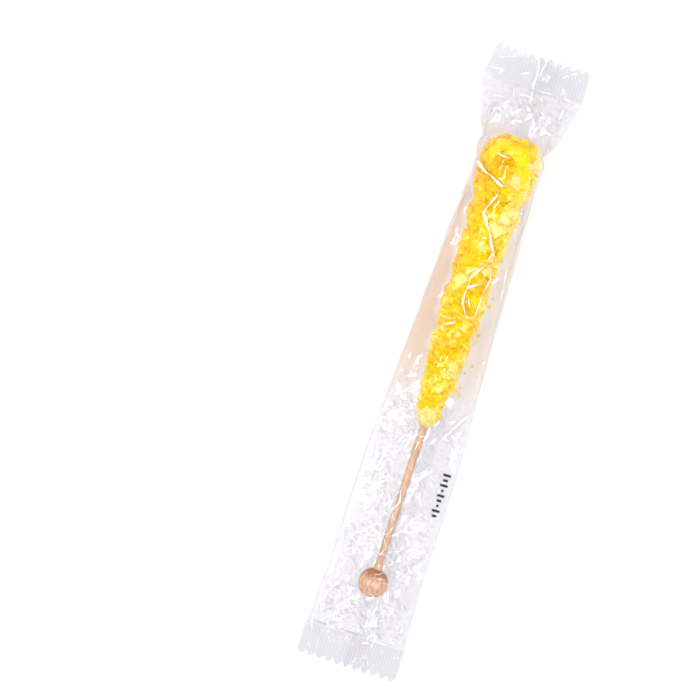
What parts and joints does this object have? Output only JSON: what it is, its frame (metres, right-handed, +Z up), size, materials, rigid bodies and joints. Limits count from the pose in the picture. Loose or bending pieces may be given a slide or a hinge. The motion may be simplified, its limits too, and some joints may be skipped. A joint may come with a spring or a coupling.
{
  "type": "rock candy stick",
  "caption": "Rock candy on a ball-ended wooden stick, sealed in a clear film sleeve with flat crimped seals and pinked edges, lying down.",
  "frame": {"origin": "on the surface under the middle of the lying pack", "axes": "+Y along the pack towards the candy's end, +X across it, +Z up through the side that is shown"},
  "size_m": [0.038, 0.236, 0.0215],
  "materials": {
    "film": "clear glossy film, thin and creased",
    "candy": "clear yellow sugar crystals",
    "stick_wood": "pale bare wood, fine lengthwise grain",
    "ball_wood": "pale bare turned wood, darker end grain",
    "ink": "dry black printing ink"
  },
  "bodies": {
    "root": {"sealed_sleeve": "film"}
  },
  "joints": []
}
